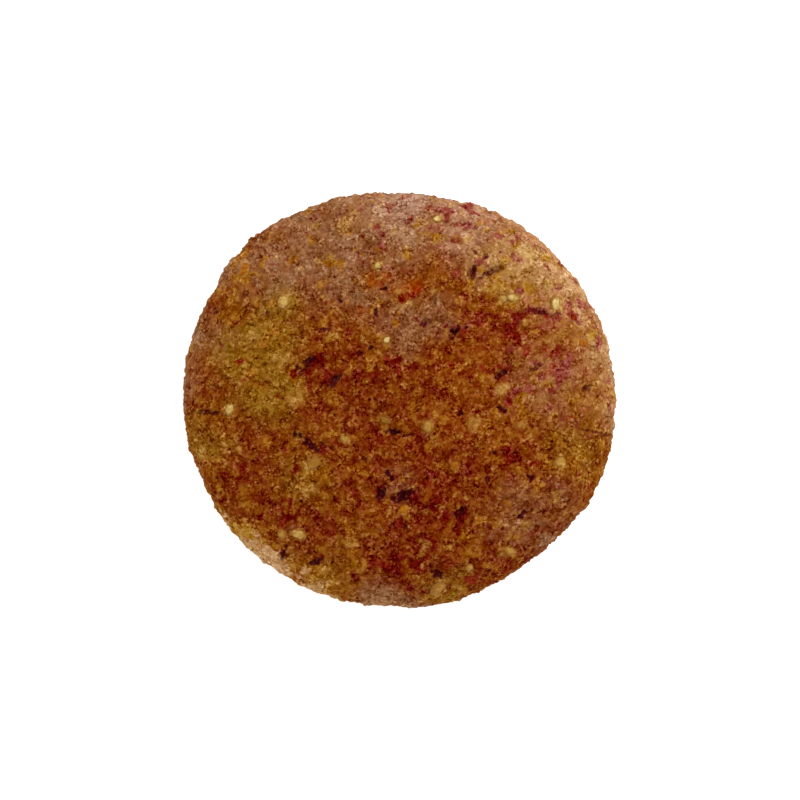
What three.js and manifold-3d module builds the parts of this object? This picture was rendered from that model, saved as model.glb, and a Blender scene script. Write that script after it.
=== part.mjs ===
// A round lebkuchen: one baked piece of nut and spice dough with a flat base, a low dome and a craggy
// top, where chopped nuts and small seeds stand proud and pits and short cracks open.
// Millimetres, +Z up. The origin is the middle of the base, and +Y is the far edge seen from above.
import * as THREE from "three";
import { mergeVertices } from "three/addons/utils/BufferGeometryUtils.js";
import Module from "manifold-3d";

const wasm = await Module();
wasm.setup();

// Overall form: half of the section is drawn with these
const meanRadius = 44.15;
const height = 15;
const widestHeight = 4;
const baseInset = 2.4;
const domeRun = 29;
const shoulderHeight = 12.5;

// Slow lobes of the outline: how many go round the rim, how deep, and the bearing of one crest in degrees
const lobes = [
  { count: 1, depth: 0.3, crest: 87 },
  { count: 2, depth: 0.87, crest: -4.5 },
  { count: 3, depth: 0.31, crest: 14 },
  { count: 4, depth: 0.12, crest: -43 },
  { count: 5, depth: 0.32, crest: -17 },
  { count: 6, depth: 0.11, crest: -10 },
  { count: 7, depth: 0.15, crest: 23 },
  { count: 8, depth: 0.08, crest: 12 },
  { count: 9, depth: 0.15, crest: 16 },
  { count: 10, depth: 0.08, crest: 30 },
];

// Swells that make the hand-shaped surface uneven, from long to short, lower on the side than on top
const swellCount = 16;
const longestSwell = 24;
const swellShrink = 0.89;
const swellDepth = 0.17;
const swellSideShare = 0.25;
const swellFade = 3;

// Pieces of nut and seed that show pale: place from above, length, width and turn in degrees
const chunks = [
  { x: -23.5, y: 20.4, long: 3.0, wide: 2.3, turn: 60 },
  { x: -34.8, y: -1.5, long: 2.7, wide: 1.9, turn: 80 },
  { x: 6.0, y: -5.5, long: 2.7, wide: 2.1, turn: 90 },
  { x: 32.2, y: 20.0, long: 2.9, wide: 2.2, turn: 80 },
  { x: 23.5, y: 21.1, long: 2.6, wide: 1.6, turn: -15 },
  { x: -3.0, y: -4.2, long: 2.4, wide: 1.6, turn: -10 },
  { x: -20.7, y: -27.4, long: 3.4, wide: 1.9, turn: -20 },
  { x: -24.1, y: -27.5, long: 1.8, wide: 1.6, turn: 70 },
  { x: 8.1, y: -39.0, long: 3.6, wide: 2.8, turn: 50 },
  { x: 22.9, y: -30.9, long: 2.6, wide: 1.7, turn: -20 },
  { x: 33.2, y: -12.5, long: 2.8, wide: 2.2, turn: 20 },
  { x: -17.5, y: -12.8, long: 3.4, wide: 2.0, turn: 35 },
  { x: 7.9, y: 37.6, long: 1.7, wide: 1.5, turn: 0 },
  { x: 14.5, y: -34.4, long: 1.7, wide: 1.6, turn: 30 },
  { x: -2.5, y: 12.5, long: 1.5, wide: 1.2, turn: 45 },
  { x: -11.1, y: -7.8, long: 1.8, wide: 1.5, turn: -30 },
];
const chunkHeight = 0.85;
const chunkSink = 0.2;

// Pits and short cracks that open in the top: place from above, length, width and turn in degrees
const hollows = [
  { x: 15.2, y: 26.1, long: 3.6, wide: 2.0, turn: 70 },
  { x: 19.4, y: 26.5, long: 5.0, wide: 1.6, turn: 24 },
  { x: 11.5, y: 13.8, long: 2.8, wide: 1.5, turn: 50 },
  { x: -13.1, y: 4.1, long: 3.2, wide: 1.6, turn: 55 },
  { x: -18.9, y: 8.0, long: 5.0, wide: 2.0, turn: 35 },
  { x: -2.8, y: 23.0, long: 2.2, wide: 1.8, turn: -10 },
  { x: -3.7, y: -18.8, long: 3.0, wide: 1.8, turn: 80 },
  { x: 0.8, y: -19.6, long: 4.0, wide: 1.5, turn: 25 },
  { x: 12.7, y: -22.8, long: 2.8, wide: 1.5, turn: 50 },
  { x: 38.5, y: 2.5, long: 2.6, wide: 1.4, turn: 40 },
  { x: 21.2, y: 5.7, long: 4.4, wide: 1.5, turn: 25 },
  { x: 28.1, y: 6.8, long: 3.4, wide: 1.4, turn: 30 },
  { x: -39.5, y: -2.6, long: 10.0, wide: 1.2, turn: -7 },
  { x: 29.8, y: 18.0, long: 6.0, wide: 1.2, turn: -13 },
  { x: -0.3, y: -6.6, long: 6.0, wide: 1.2, turn: -8 },
];
const hollowDepth = 1.1;

// Smaller nut pieces and pits that a spiral of even spacing scatters over the top and round the side
const topScatter = 64;
const sideScatter = 16;
const scatterReach = 0.93;
const scatterClearance = 3.4;
const scatterLong = 2.3;
const scatterWide = 1.5;
const sideHeight = 6;
const sideHeightSpread = 4;

// Fineness of the faces
const bodyRings = 33;
const mergeDistance = 1e-4;

const goldenTurn = Math.PI * (3 - Math.sqrt(5));
const radians = THREE.MathUtils.degToRad;

// A repeatable draw between 0 and 1 for a whole number
function draw(number) {
  const stretched = Math.sin(number * 127.1 + 11.7) * 43758.5453;
  return stretched - Math.floor(stretched);
}

// Radius of the outline at a bearing
function outlineRadius(bearing) {
  let radius = meanRadius;
  for (const lobe of lobes) {
    radius += lobe.depth * Math.cos(lobe.count * (bearing - radians(lobe.crest)));
  }
  return radius;
}

// Rise of the surface at a point: waves that run in directions spread evenly over a sphere
function swell(point) {
  let rise = 0;
  for (let i = 0; i < swellCount; i += 1) {
    const length = longestSwell * swellShrink ** i;
    const upward = 1 - (2 * i + 1) / swellCount;
    const level = Math.sqrt(1 - upward * upward);
    const direction = new THREE.Vector3(
      level * Math.cos(i * goldenTurn),
      level * Math.sin(i * goldenTurn),
      upward,
    );
    const phase = (2 * Math.PI * direction.dot(point)) / length + i * i;
    rise += swellDepth * Math.sqrt(length / longestSwell) * Math.cos(phase);
  }
  return rise * THREE.MathUtils.smoothstep(point.z, 0, swellFade);
}

// Half of the section, from the top of the dome over the shoulder and round to the edge of the base
const section = new THREE.Path();
section.moveTo(0, height);
section.bezierCurveTo(domeRun, height, meanRadius, shoulderHeight, meanRadius, widestHeight);
section.quadraticCurveTo(meanRadius, widestHeight / 3, meanRadius - baseInset, 0);

// A point of the crust, by its share of the way down the section and its bearing
function crustPoint(share, bearing) {
  const place = section.getPointAt(share);
  const tangent = section.getTangentAt(share);
  const reach = place.x * (outlineRadius(bearing) / meanRadius);
  const point = new THREE.Vector3(reach * Math.cos(bearing), reach * Math.sin(bearing), place.y);
  const outward = new THREE.Vector3(
    -tangent.y * Math.cos(bearing),
    -tangent.y * Math.sin(bearing),
    tangent.x,
  );
  const evenness = THREE.MathUtils.lerp(swellSideShare, 1, Math.abs(outward.z));
  return point.addScaledVector(outward, evenness * swell(point));
}

// Bare body: rings of 6, 12, 18 and so on points from the top outwards, closed by a flat base
function bodyGeometry() {
  const positions = [];
  const faces = [];
  const pointsIn = (ring) => Math.max(1, 6 * ring);
  const firstOf = (ring) => (ring === 0 ? 0 : 1 + 3 * ring * (ring - 1));
  for (let ring = 0; ring <= bodyRings; ring += 1) {
    for (let i = 0; i < pointsIn(ring); i += 1) {
      const bearing = (2 * Math.PI * i) / pointsIn(ring);
      positions.push(...crustPoint(ring / bodyRings, bearing).toArray());
    }
  }
  for (let ring = 1; ring <= bodyRings; ring += 1) {
    const outer = (i) => firstOf(ring) + (i % pointsIn(ring));
    const inner = (i) => firstOf(ring - 1) + (i % pointsIn(ring - 1));
    for (let side = 0; side < 6; side += 1) {
      for (let i = 0; i < ring; i += 1) {
        const out = side * ring + i;
        const back = side * (ring - 1) + i;
        faces.push(outer(out), outer(out + 1), inner(back));
        if (i < ring - 1) {
          faces.push(inner(back), outer(out + 1), inner(back + 1));
        }
      }
    }
  }
  const edge = firstOf(bodyRings);
  const foot = [];
  for (let i = edge; i < edge + pointsIn(bodyRings); i += 1) {
    foot.push(new THREE.Vector2(positions[3 * i], positions[3 * i + 1]));
  }
  for (const [a, b, c] of THREE.ShapeUtils.triangulateShape(foot, [])) {
    faces.push(edge + c, edge + b, edge + a);
  }
  const geometry = new THREE.BufferGeometry();
  geometry.setAttribute("position", new THREE.Float32BufferAttribute(positions, 3));
  geometry.setIndex(faces);
  return geometry;
}

// An angular blob that lies in the surface where a line from outside meets the bare body
function blobAt(body, { from, aim, long, wide, turn }, tall, sink) {
  const [hit] = new THREE.Raycaster(from, aim).intersectObject(body);
  const up = new THREE.Vector3(0, 0, 1);
  const tilt = new THREE.Quaternion().setFromUnitVectors(up, hit.face.normal);
  const spin = new THREE.Quaternion().setFromAxisAngle(up, radians(turn));
  const centre = hit.point.clone().addScaledVector(hit.face.normal, -sink);
  const blob = new THREE.IcosahedronGeometry(0.5, 0);
  blob.scale(long, wide, tall);
  blob.applyQuaternion(tilt.multiply(spin));
  blob.translate(centre.x, centre.y, centre.z);
  return blob;
}

// Where a piece placed from above is looked for
function fromAbove(piece) {
  const from = new THREE.Vector3(piece.x, piece.y, 2 * height);
  const aim = new THREE.Vector3(0, 0, -1);
  return { ...piece, from, aim };
}

// Small pieces over the top, kept clear of the pieces that have a place of their own
function topPieces() {
  const pieces = [];
  for (let i = 0; i < topScatter; i += 1) {
    const reach = scatterReach * meanRadius * Math.sqrt((i + 0.5) / topScatter);
    const piece = {
      x: reach * Math.cos(i * goldenTurn),
      y: reach * Math.sin(i * goldenTurn),
      long: scatterLong * (0.75 + 0.5 * draw(i)),
      wide: scatterWide * (0.75 + 0.5 * draw(i + 100)),
      turn: 360 * draw(i + 200),
    };
    const gaps = [...chunks, ...hollows].map((other) => Math.hypot(other.x - piece.x, other.y - piece.y));
    if (Math.min(...gaps) > scatterClearance) {
      pieces.push(fromAbove(piece));
    }
  }
  return pieces;
}

// Small pieces round the side, looked for from outside
function sidePieces() {
  const pieces = [];
  for (let i = 0; i < sideScatter; i += 1) {
    const bearing = i * goldenTurn;
    const aim = new THREE.Vector3(-Math.cos(bearing), -Math.sin(bearing), 0);
    const from = aim.clone().multiplyScalar(-2 * meanRadius);
    from.z = sideHeight + sideHeightSpread * (draw(i + 300) - 0.5);
    pieces.push({ from, aim, long: scatterLong, wide: scatterWide, turn: 360 * draw(i + 400) });
  }
  return pieces;
}

function toSolid(geometry) {
  const bare = geometry.clone();
  bare.deleteAttribute("normal");
  bare.deleteAttribute("uv");
  const merged = mergeVertices(bare, mergeDistance);
  const mesh = new wasm.Mesh({
    numProp: 3,
    vertProperties: new Float32Array(merged.attributes.position.array),
    triVerts: new Uint32Array(merged.index.array),
  });
  return new wasm.Manifold(mesh);
}

function toGeometry(solid) {
  const { vertProperties, triVerts } = solid.getMesh();
  const geometry = new THREE.BufferGeometry();
  geometry.setAttribute("position", new THREE.BufferAttribute(vertProperties, 3));
  geometry.setIndex(new THREE.BufferAttribute(triVerts, 1));
  geometry.computeVertexNormals();
  return geometry;
}

// Of the scattered pieces every other one is a pit, and the rest are nuts
const isPit = (piece, place) => place % 2 === 1;
const isNut = (piece, place) => place % 2 === 0;
const scattered = [...topPieces(), ...sidePieces()];
const pits = [...hollows.map(fromAbove), ...scattered.filter(isPit)];
const nuts = [...chunks.map(fromAbove), ...scattered.filter(isNut)];

const body = new THREE.Mesh(bodyGeometry(), new THREE.MeshBasicMaterial());
let solid = toSolid(body.geometry);
for (const pit of pits) {
  solid = solid.subtract(toSolid(blobAt(body, pit, 2 * hollowDepth, 0)));
}
for (const nut of nuts) {
  solid = solid.add(toSolid(blobAt(body, nut, chunkHeight * nut.wide, chunkSink * nut.wide)));
}

// The middle of the outline's box stands over the origin
const geometry = toGeometry(solid);
geometry.computeBoundingBox();
const middle = geometry.boundingBox.getCenter(new THREE.Vector3());
geometry.translate(-middle.x, -middle.y, 0);

const crust = new THREE.MeshStandardMaterial({ color: "#84481f", roughness: 0.75, metalness: 0 });
const biscuit = new THREE.Mesh(geometry, crust);
biscuit.name = "lebkuchen";

const group = new THREE.Group();
group.add(biscuit);

export default group;
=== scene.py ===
# %% [markdown]
# # A round lebkuchen
# A lebkuchen of this kind is a spoonful of ground nuts, egg, sugar and spice, spread into a round and
# baked until its crust is brown. This lesson dresses the plain solid of the biscuit: a crumb with real
# grain and torn pits, chopped nuts, seeds and candied peel that lie in it, and a soft light over a pale
# table. Everything is in metres, in the frame of the solid, with the middle of the base at the origin.

# %% Load the solid
import math
import random

import bmesh
import bpy
import numpy as np
from mathutils import Matrix, Vector, noise
from mathutils.bvhtree import BVHTree


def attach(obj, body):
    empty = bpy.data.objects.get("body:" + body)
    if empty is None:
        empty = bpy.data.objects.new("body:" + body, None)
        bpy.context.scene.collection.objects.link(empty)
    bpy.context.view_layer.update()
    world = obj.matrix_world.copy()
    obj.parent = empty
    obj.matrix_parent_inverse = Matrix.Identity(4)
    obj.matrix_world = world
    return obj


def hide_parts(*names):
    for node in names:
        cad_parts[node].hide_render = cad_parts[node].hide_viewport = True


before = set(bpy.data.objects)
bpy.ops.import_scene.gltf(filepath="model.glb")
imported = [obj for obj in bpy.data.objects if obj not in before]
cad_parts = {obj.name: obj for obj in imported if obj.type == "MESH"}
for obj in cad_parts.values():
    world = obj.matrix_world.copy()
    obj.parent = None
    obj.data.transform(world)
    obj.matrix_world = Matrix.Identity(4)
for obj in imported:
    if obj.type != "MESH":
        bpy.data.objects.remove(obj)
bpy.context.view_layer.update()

MM = 0.001
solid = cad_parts["lebkuchen"]

# %% [markdown]
# ## Helpers
# Shader trees and Geometry Nodes trees are both made of nodes, so one small function adds a node of any
# kind, sets its properties and fills or links its inputs. Colours are written as sRGB hex values, as
# they would be read from a picture, and turned linear once. A Geometry Nodes tree is run on an object as
# a modifier and its result is kept as a plain mesh, because an export knows nothing of modifiers.

# %% Node and colour helpers
def linear(hex_colour):
    """A linear RGBA colour from an sRGB hex value."""
    channels = [int(hex_colour[i:i + 2], 16) / 255 for i in (1, 3, 5)]
    return [c / 12.92 if c <= 0.04045 else ((c + 0.055) / 1.055) ** 2.4 for c in channels] + [1.0]


def add(tree, kind, links=None, stops=(), **settings):
    """Adds a node, sets its properties and ramp stops, and fills or links its inputs."""
    node = tree.nodes.new(kind)
    for name, value in settings.items():
        setattr(node, name, value)
    for number, (position, colour) in enumerate(stops):
        points = node.color_ramp.elements
        point = points[number] if number < 2 else points.new(position)
        point.position = position
        point.color = linear(colour)
    for name, value in (links or {}).items():
        if isinstance(value, bpy.types.Node):
            value = value.outputs[0]
        if isinstance(value, bpy.types.NodeSocket):
            tree.links.new(value, node.inputs[name])
        else:
            node.inputs[name].default_value = value
    return node


# %% Material helpers
def new_material(name):
    """A new material with its tree and the place on the piece in millimetres."""
    material = bpy.data.materials.new(name)
    material.use_nodes = True
    tree = material.node_tree
    place = add(tree, "ShaderNodeTexCoord").outputs["Object"]
    place = add(tree, "ShaderNodeVectorMath", {0: place, "Scale": 1 / MM}, operation="SCALE")
    return material, tree, place


def set_surface(tree, colour, roughness, gloss, grain=None, depth=0.0, strength=1.0):
    """Links the colour, sets how matt and how glossy it is, and adds a grain as bump, in millimetres."""
    shader = tree.nodes["Principled BSDF"]
    tree.links.new(colour, shader.inputs["Base Color"])
    shader.inputs["Roughness"].default_value = roughness
    shader.inputs["Specular IOR Level"].default_value = gloss
    if grain is not None:
        bump = add(tree, "ShaderNodeBump", {"Height": grain, "Distance": depth * MM, "Strength": strength})
        tree.links.new(bump.outputs[0], shader.inputs["Normal"])


# %% Tree and piece helpers
def new_tree(name, sizes):
    """A Geometry Nodes tree with a geometry input, the named number inputs and a geometry output."""
    tree = bpy.data.node_groups.new(name, "GeometryNodeTree")
    tree.interface.new_socket("Geometry", in_out="INPUT", socket_type="NodeSocketGeometry")
    for label, value in sizes.items():
        socket = tree.interface.new_socket(label, in_out="INPUT", socket_type="NodeSocketFloat")
        socket.default_value = value
    tree.interface.new_socket("Geometry", in_out="OUTPUT", socket_type="NodeSocketGeometry")
    return tree, add(tree, "NodeGroupInput").outputs


def run_tree(piece, tree, sizes):
    """Runs a tree on a piece with these sizes and returns the result as a plain mesh."""
    modifier = piece.modifiers.new(tree.name, "NODES")
    modifier.node_group = tree
    for item in tree.interface.items_tree:
        if item.in_out == "INPUT" and item.name in sizes:
            modifier[item.identifier] = sizes[item.name]
    seen = piece.evaluated_get(bpy.context.evaluated_depsgraph_get())
    mesh = bpy.data.meshes.new_from_object(seen)
    piece.modifiers.remove(modifier)
    return mesh


def new_piece(name, mesh):
    """An object at the origin that holds a mesh."""
    piece = bpy.data.objects.new(name, mesh)
    bpy.context.scene.collection.objects.link(piece)
    return piece


# %% [markdown]
# ## The crumb's form
# The solid has the biscuit's outline, dome, pits and nuts, but with faces of a millimetre and more. A
# copy of it is merged and turned into an even net of small squares by a voxel remesh, so that grain can
# be pressed into it. The flat base needs no such net: its squares are taken out and one face closes it.

# %% Remesh a copy of the solid
# Width of the net's squares, and the height up to which a face can belong to the base
NET = 0.35 * MM
BASE_SKIN = 0.3 * MM
# Points closer than this are one, and a face whose normal points lower than this looks down
MERGE_GAP = 0.0001 * MM
DOWNWARD = -0.8


def fine_net(source):
    """A closed net of small squares over the solid, with one flat face as the base."""
    form = bmesh.new()
    form.from_mesh(source.data)
    bmesh.ops.remove_doubles(form, verts=form.verts, dist=MERGE_GAP)
    mesh = bpy.data.meshes.new("crumb_form")
    form.to_mesh(mesh)
    form.free()
    piece = new_piece("crumb_form", mesh)
    remesh = piece.modifiers.new("net", "REMESH")
    remesh.mode = "VOXEL"
    remesh.voxel_size = NET
    seen = piece.evaluated_get(bpy.context.evaluated_depsgraph_get())
    net = bpy.data.meshes.new_from_object(seen)
    bpy.data.objects.remove(piece)
    form = bmesh.new()
    form.from_mesh(net)
    under = [f for f in form.faces
             if f.normal.z < DOWNWARD and f.calc_center_median().z < BASE_SKIN]
    bmesh.ops.delete(form, geom=under, context="FACES")
    rim = [e for e in form.edges if e.is_boundary]
    for vertex in {v for e in rim for v in e.verts}:
        vertex.co.z = 0
    cap = bmesh.ops.contextual_create(form, geom=rim)["faces"]
    bmesh.ops.recalc_face_normals(form, faces=form.faces)
    for face in form.faces:
        face.smooth = True
    for face in cap:
        face.smooth = False
        face.material_index = 1
    form.to_mesh(net)
    form.free()
    return net


crumb = new_piece("crumb", fine_net(solid))
print("crumb net:", len(crumb.data.polygons), "faces")

# %% [markdown]
# ## Places on the top
# Steam tears pits and short cracks in the dough, some deep and some that only graze the crust, and the
# dough round a deep one is darker and redder. Some nuts stand clear of the dough and others lie under a
# thin film of it. The clearest of them have places of their own, seen from above in millimetres, each an
# oval with a length, a width and a turn in degrees. The ovals are bent by noise so that none looks drawn,
# and how far a point lies inside one is kept on the net as an attribute. The grain, the finish and the
# scattered crumbs read these attributes.

# %% Pits, nuts and seeds
# Deep pits and cracks
TORN = [
    (11.4, 13.8, 2.8, 1.4, 50), (-13.3, 4.1, 3.4, 1.5, 55), (-19.2, 7.6, 5.2, 1.6, 35),
    (-3.0, 23.0, 1.3, 0.8, -10), (-3.8, -18.9, 3.0, 1.5, 80), (0.6, -19.5, 5.0, 1.4, 20),
    (12.8, -22.6, 2.6, 1.1, 50), (21.4, 5.8, 3.0, 0.8, 25), (-0.3, -6.6, 6.0, 0.8, -8),
    (-23.7, -31.4, 3.2, 1.2, 85), (-17.0, -33.2, 3.4, 1.3, 15), (-18.8, -8.4, 7.0, 1.1, -36),
    (7.5, -35.4, 3.6, 1.3, -30), (19.5, -10.6, 1.1, 0.6, -50), (18.0, -16.1, 1.3, 0.7, -50),
    (25.4, -23.4, 1.9, 1.2, 40), (21.4, -1.8, 1.6, 1.0, 0), (12.7, -2.1, 1.0, 0.6, -30),
    (-4.7, 18.3, 1.9, 1.2, -50), (-7.9, 9.9, 1.3, 0.9, 20), (-5.9, 10.6, 1.3, 0.9, 60),
    (-12.1, 20.7, 1.3, 0.9, 90), (-2.5, -14.7, 1.1, 0.8, 0), (-1.5, -15.7, 1.2, 0.7, -40),
    (1.4, -25.9, 1.3, 0.8, 0), (26.9, -15.8, 1.5, 0.8, 15), (13.8, 15.2, 1.0, 0.7, 0),
    (24.0, 9.8, 1.2, 0.7, -45),
]
# Pits and cracks that only graze the crust, and how deep they go next to the others
GRAZED = [
    (15.2, 26.3, 3.4, 1.2, 75), (19.2, 26.4, 6.0, 1.1, 24), (38.8, 2.7, 2.8, 1.0, 45),
    (28.1, 6.9, 3.8, 1.0, 30), (-39.5, -2.6, 9.0, 0.7, -7), (29.4, 18.3, 7.4, 0.7, -12),
    (41.0, -6.8, 6.4, 0.6, -12), (1.6, 36.6, 4.0, 0.9, -40), (-27.2, 17.8, 1.7, 0.9, 80),
    (-37.8, 18.6, 1.8, 0.8, 70), (-15.2, 14.4, 1.3, 0.9, 0), (5.4, 16.0, 2.6, 1.2, 20),
    (-31.4, 22.1, 1.4, 0.9, -30), (9.9, 27.5, 1.3, 0.8, -40), (17.8, 29.6, 1.2, 0.9, 0),
    (15.8, 30.6, 1.0, 0.8, 0), (21.0, 31.2, 1.1, 0.8, 30),
]
GRAZED_DEPTH = 0.45
# Nuts and seeds that stand clear of the dough, with how pale each is as the last number
NUTS = [
    (-23.6, 20.5, 2.9, 2.1, 60, 0.72), (-34.8, -1.6, 2.5, 1.8, 80, 0.75), (6.0, -5.4, 2.4, 1.9, 90, 0.5),
    (32.3, 20.0, 2.8, 2.1, 80, 0.87), (23.5, 21.1, 2.6, 1.6, -15, 0.75),
    (-3.0, -4.2, 2.2, 1.4, -10, 0.42), (-20.7, -27.4, 2.9, 1.6, -20, 0.66),
    (-24.1, -27.5, 1.7, 1.5, 70, 0.5), (8.1, -39.0, 3.2, 2.2, 50, 0.45),
    (22.9, -30.9, 2.4, 1.5, -20, 0.55), (33.2, -12.5, 2.3, 1.9, 20, 0.55),
    (-17.5, -12.8, 2.8, 1.6, 35, 0.4), (7.9, 37.6, 1.6, 1.4, 0, 0.85), (14.5, -34.4, 1.6, 1.4, 30, 0.65),
    (-2.5, 12.5, 1.4, 1.1, 45, 0.9), (-11.1, -7.8, 1.7, 1.3, -30, 0.55), (-4.4, 27.8, 1.6, 1.3, 0, 0.75),
    (21.5, 21.0, 1.6, 1.3, 20, 0.7),
]
# Nuts under a thin film of dough
FILMED = [
    (-11.4, 36.1, 3.6, 2.4, 60), (-17.2, 36.1, 2.2, 1.6, 25), (-14.0, 29.7, 1.9, 1.5, 15),
    (-31.8, 27.1, 3.2, 2.0, 70), (-27.2, 16.0, 1.7, 1.5, 0), (-13.7, 13.0, 2.8, 2.0, 30),
    (-40.8, -10.2, 2.1, 1.8, 60), (-33.6, -7.8, 1.2, 1.7, 0), (-18.4, -18.6, 3.6, 2.0, 10),
    (-10.8, -29.1, 3.4, 2.0, -25), (-14.6, -34.7, 4.0, 2.4, -10), (-22.2, -32.0, 1.5, 3.4, 8),
    (15.1, -4.6, 3.4, 2.8, 0), (25.4, -5.1, 2.2, 1.4, -20), (36.4, -10.4, 2.2, 1.8, 0),
    (11.4, -13.4, 1.9, 1.6, 0), (1.1, -22.4, 2.3, 2.0, 30), (5.5, -29.1, 1.8, 1.4, 0),
    (26.2, -25.5, 2.1, 1.6, 0), (20.8, -31.1, 1.6, 1.4, 0), (13.0, -39.0, 2.5, 2.0, 40),
    (42.6, -1.4, 1.6, 2.2, 0), (20.3, 23.0, 3.0, 2.3, 20), (17.3, 22.9, 2.4, 1.4, -10),
    (13.9, 33.2, 2.6, 1.8, 30), (26.2, 30.3, 4.2, 2.8, 0), (30.7, 24.2, 2.1, 2.0, 0),
    (33.5, 13.7, 1.3, 1.9, 0), (38.1, 11.9, 2.1, 1.7, 0), (21.2, 2.0, 3.4, 2.6, 60),
    (-21.0, 1.0, 4.2, 3.0, 70), (-24.0, 9.0, 4.0, 3.4, 0), (-30.0, 13.5, 3.0, 2.4, 30),
]
print(len(TORN + GRAZED), "pits,", len(NUTS), "clear nuts and seeds,", len(FILMED), "filmed nuts")

# %% Points and ovals
# The seed sets the offsets of the noise that bends places, so that every run bends them alike
BEND_SEED = 2
noise.seed_set(BEND_SEED)


def net_points(mesh):
    """The points of a mesh in millimetres, as rows of an array."""
    flat = np.empty(3 * len(mesh.vertices), dtype=np.float32)
    mesh.vertices.foreach_get("co", flat)
    return flat.reshape(-1, 3) / MM


def bent(points, size, reach):
    """Points moved about by smooth noise of this size and reach in millimetres."""
    moves = [noise.noise_vector(Vector(p) / size) for p in points.tolist()]
    return points + reach * np.array(moves, dtype=np.float32)


def eased(share):
    """Smoothly from 0 to 1, and level outside that range."""
    share = np.clip(share, 0, 1)
    return share * share * (3 - 2 * share)


def inside_ovals(points, ovals, softness):
    """How far inside the nearest oval each point lies, from 0 outside to 1 well inside."""
    most = np.zeros(len(points), dtype=np.float32)
    for x, y, long, wide, turn in ovals:
        along, across = math.cos(math.radians(turn)), math.sin(math.radians(turn))
        east, north = points[:, 0] - x, points[:, 1] - y
        reach = np.hypot((along * east + across * north) / (long / 2),
                         (along * north - across * east) / (wide / 2))
        most = np.maximum(most, eased((1 + softness - reach) / (2 * softness)))
    return most


def keep(mesh, label, values):
    """Keeps one number for each point of a mesh as a named attribute."""
    attribute = mesh.attributes.new(label, "FLOAT", "POINT")
    attribute.data.foreach_set("value", np.asarray(values, dtype=np.float32))


# %% Keep the places on the net
# Noise that bends the ovals, coarse and then fine: size and reach in millimetres
OVAL_BENDS = [(1.3, 0.7), (0.6, 0.45)]
# How soft the edge of each kind of oval is, as a share of half its width
PIT_EDGE = 0.3
PIT_SURROUND_EDGE = 0.7
FILM_EDGE = 0.6
NUT_EDGE = 0.2
# How far the darker, redder dough round a pit reaches, as shares of its length and its width
PIT_SURROUND_REACH = (1.5, 2.8)
# How far the dough round a nut takes its colour, as a share of the nut's size
NUT_HALO = 1.35
# Noise of this size in millimetres breaks the pits up: how open they are, and by how much that varies
TEAR_SIZE = 0.8
TEAR_OPEN = 0.8
TEAR_SPREAD = 1.3
# The top begins at this level and fades in upwards, in millimetres
TOP_LEVEL = 4.0
TOP_FADE = 3.0
# The side begins at this level and fades in downwards, in millimetres
SIDE_TOP = 10.0
SIDE_FADE = 6.0

points = net_points(crumb.data)
ragged = points
for size, reach in OVAL_BENDS:
    ragged = bent(ragged, size, reach)
on_top = eased((points[:, 2] - TOP_LEVEL) / TOP_FADE)
broken = np.array([noise.noise(Vector(p) / TEAR_SIZE) for p in points.tolist()])
torn = np.maximum(inside_ovals(ragged, TORN, PIT_EDGE),
                  GRAZED_DEPTH * inside_ovals(ragged, GRAZED, PIT_EDGE))
torn *= eased(TEAR_OPEN + TEAR_SPREAD * broken) * on_top
pit_surrounds = [(x, y, PIT_SURROUND_REACH[0] * long, PIT_SURROUND_REACH[1] * wide, turn)
          for x, y, long, wide, turn in TORN]
halos = [(x, y, NUT_HALO * long, NUT_HALO * wide, turn) for x, y, long, wide, turn, _ in NUTS]
clear_nuts = inside_ovals(points, [row[:5] for row in NUTS], NUT_EDGE)

keep(crumb.data, "torn", torn)
keep(crumb.data, "pit_surround", inside_ovals(ragged, pit_surrounds, PIT_SURROUND_EDGE) * on_top)
keep(crumb.data, "filmed", inside_ovals(ragged, FILMED + halos, FILM_EDGE) * on_top)
keep(crumb.data, "side", eased((SIDE_TOP - points[:, 2]) / SIDE_FADE))
keep(crumb.data, "uncovered", np.maximum(torn, clear_nuts))
print("pits take up %.1f%% of %d points" % (100 * torn.mean(), len(points)))

# %% [markdown]
# ## Grain pressed into the crumb
# Ground nuts bound with egg bake to a craggy surface with no even lumps. A Geometry Nodes tree follows
# that rule: it relaxes the net, raises crags from fractal noise and crumbs from a bent cell pattern,
# sinks small specks where a crumb fell out, presses the torn pits in and lifts the filmed nuts, all along
# the normal, rougher round the side and fading out at the base. It then compares each point with the
# average of its neighbours and keeps the difference, so that the finish can paint shade into what lies
# deep and light onto what stands proud. It also keeps the chance draws of each crumb and of each larger
# lump, for the finish to read as tone and colour. Here and in the materials, W is a fourth coordinate
# that only picks another noise.

# %% Grain sizes
GRAIN_SIZES = {
    "Crag size (mm)": 3.4,
    "Crag height (mm)": 1.0,
    "Lump size (mm)": 2.1,
    "Crumb size (mm)": 1.25,
    "Crumb height (mm)": 0.45,
    "Speck spacing (mm)": 2.7,
    "Speck depth (mm)": 0.3,
    "Pit depth (mm)": 0.6,
    "Nut rise (mm)": 0.15,
    "Side roughness": 2.1,
}
# Levels in millimetres between which the grain fades in above the base
GRAIN_FADE = (0.2, 2.5)
# Upward share of the normal where the side begins to roughen, and where it is roughest
SIDE_FACING = (0.75, 0.1)
# Patterns of bent cells: their size, then the scale per millimetre, the detail and the reach of the bend
CELLS = {
    "crumbs": ("Crumb size (mm)", 0.8, 2.0, 2.4),
    "lumps": ("Lump size (mm)", 0.5, 3.0, 2.0),
    "specks": ("Speck spacing (mm)", 1.1, 2.0, 1.6),
}
# Distance from its middle at which a crumb is level with the dough, in cells
CRUMB_LEVEL = 0.45
# Size in millimetres of the parts where crumbs stand out more or less, and how little they can
ROUGH_PATCH = 5.0
ROUGH_LEAST = 0.3
# Share of the specks that fell out, and where their floor ends and their edge begins, in cells
FALLEN_SHARE = 0.25
SPECK_FLOOR = 0.08
SPECK_EDGE = 0.24
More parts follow.
